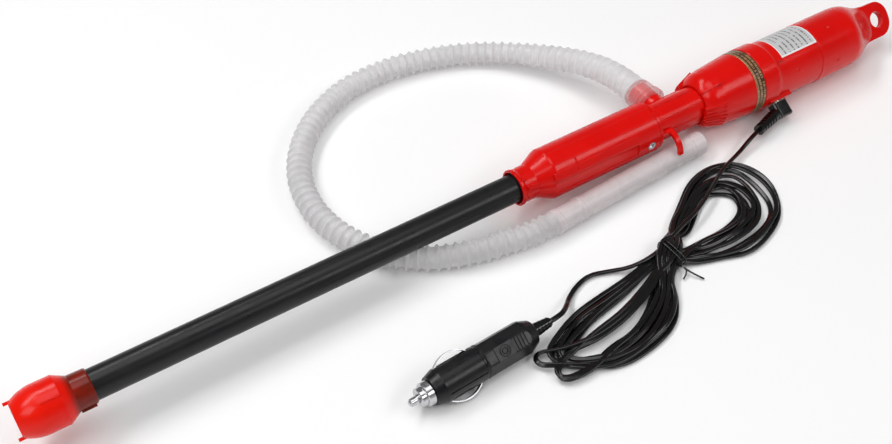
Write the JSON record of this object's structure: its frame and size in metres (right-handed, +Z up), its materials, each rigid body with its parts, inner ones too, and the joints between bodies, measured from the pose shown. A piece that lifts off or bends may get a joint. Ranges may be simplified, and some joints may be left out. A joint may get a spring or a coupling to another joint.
{
  "type": "fluid transfer pump",
  "caption": "Hand-held 12 V stick pump for moving fluid between containers, with a side outlet hose, a hanging tab and a lead ending in a lighter plug.",
  "frame": {"origin": "under the middle of the pump, on the floor that it lies on, with the hose and the lead left out", "axes": "+X along the pump from the suction end to the hanging tab, +Y towards the side outlet, +Z up"},
  "size_m": [0.6501, 0.2997, 0.0454],
  "materials": {
    "red_plastic": "glossy injection-moulded plastic",
    "black_tube": "satin extruded plastic",
    "white_nylon": "moulded nylon",
    "bronze": "sintered bronze",
    "steel": "ground steel",
    "chrome": "bright nickel plate",
    "seal_rubber": "moulded rubber",
    "motor_steel": "zinc-plated steel",
    "motor_plastic": "moulded plastic",
    "ferrite": "sintered ferrite",
    "carbon": "carbon brush",
    "band_print": "printed foil band",
    "label_silver": "silver foil label",
    "clear_hose": "translucent soft plastic",
    "black_plastic": "fine-grained moulded plastic",
    "black_pvc": "soft black plastic",
    "plug_metal": "nickel plate",
    "glass": "clear glass"
  },
  "bodies": {
    "pump": {"barrel": "red_plastic", "cable_hank": "black_pvc", "cable_lead_a": "black_pvc", "cable_lead_b": "black_pvc", "cable_tie": "black_pvc", "data_label": "label_silver", "dc_plug_body": "black_pvc", "dc_plug_contact": "plug_metal", "dc_socket": "black_plastic", "grip_back": "red_plastic", "grip_front": "red_plastic", "grip_screws": "chrome", "head_shell": "red_plastic", "hose": "clear_hose", "hose_cuff": "clear_hose", "hose_hook": "red_plastic", "hose_nozzle": "clear_hose", "inlet_cap": "red_plastic", "inlet_strainer": "white_nylon", "lighter_boot": "black_pvc", "lighter_nose_nut": "chrome", "lighter_shell_lower": "black_plastic", "lighter_shell_upper": "black_plastic", "lower_bush": "bronze", "motor_brushes": "carbon", "motor_bushes": "bronze", "motor_can": "motor_steel", "motor_end_cap": "motor_plastic", "motor_leads": "black_pvc", "motor_magnets": "ferrite", "motor_mount": "steel", "motor_screws": "steel", "outlet_neck": "red_plastic", "sealing_band": "band_print", "shaft_guides": "white_nylon", "shaft_seal": "seal_rubber", "suction_tube": "black_tube", "tip_spring": "chrome", "top_cap": "red_plastic", "tube_seal": "seal_rubber"},
    "rotor": {"impeller": "white_nylon", "drive_shaft": "steel", "shaft_coupling": "steel", "motor_rotor": "motor_steel"},
    "plug_tip": {"lighter_tip": "chrome", "fuse_caps": "chrome", "fuse_glass": "glass"},
    "contact_lower": {"side_contact_lower": "chrome"},
    "contact_upper": {"side_contact_upper": "chrome"}
  },
  "joints": [
    {"name": "rotor_spin", "type": "hinge", "parent": "pump", "child": "rotor", "pos_m": [0.16746, 0, 0.02302], "axis": [0.9999, 0, -0.0127], "continuous": true},
    {"name": "plug_tip_push", "type": "slide", "parent": "pump", "child": "plug_tip", "axis": [0.9992, 0.041, 0], "range_m": [0, 0.0025], "stiffness_N_per_m": 1500, "springref_m": -0.002, "deforming": ["tip_spring"]},
    {"name": "contact_lower_push", "type": "slide", "parent": "pump", "child": "contact_lower", "axis": [-0.0323, 0.7873, 0.6157], "range_m": [0, 0.002], "stiffness_N_per_m": 1500, "springref_m": -0.001},
    {"name": "contact_upper_push", "type": "slide", "parent": "pump", "child": "contact_upper", "axis": [0.0323, -0.7873, -0.6157], "range_m": [0, 0.002], "stiffness_N_per_m": 1500, "springref_m": -0.001}
  ]
}
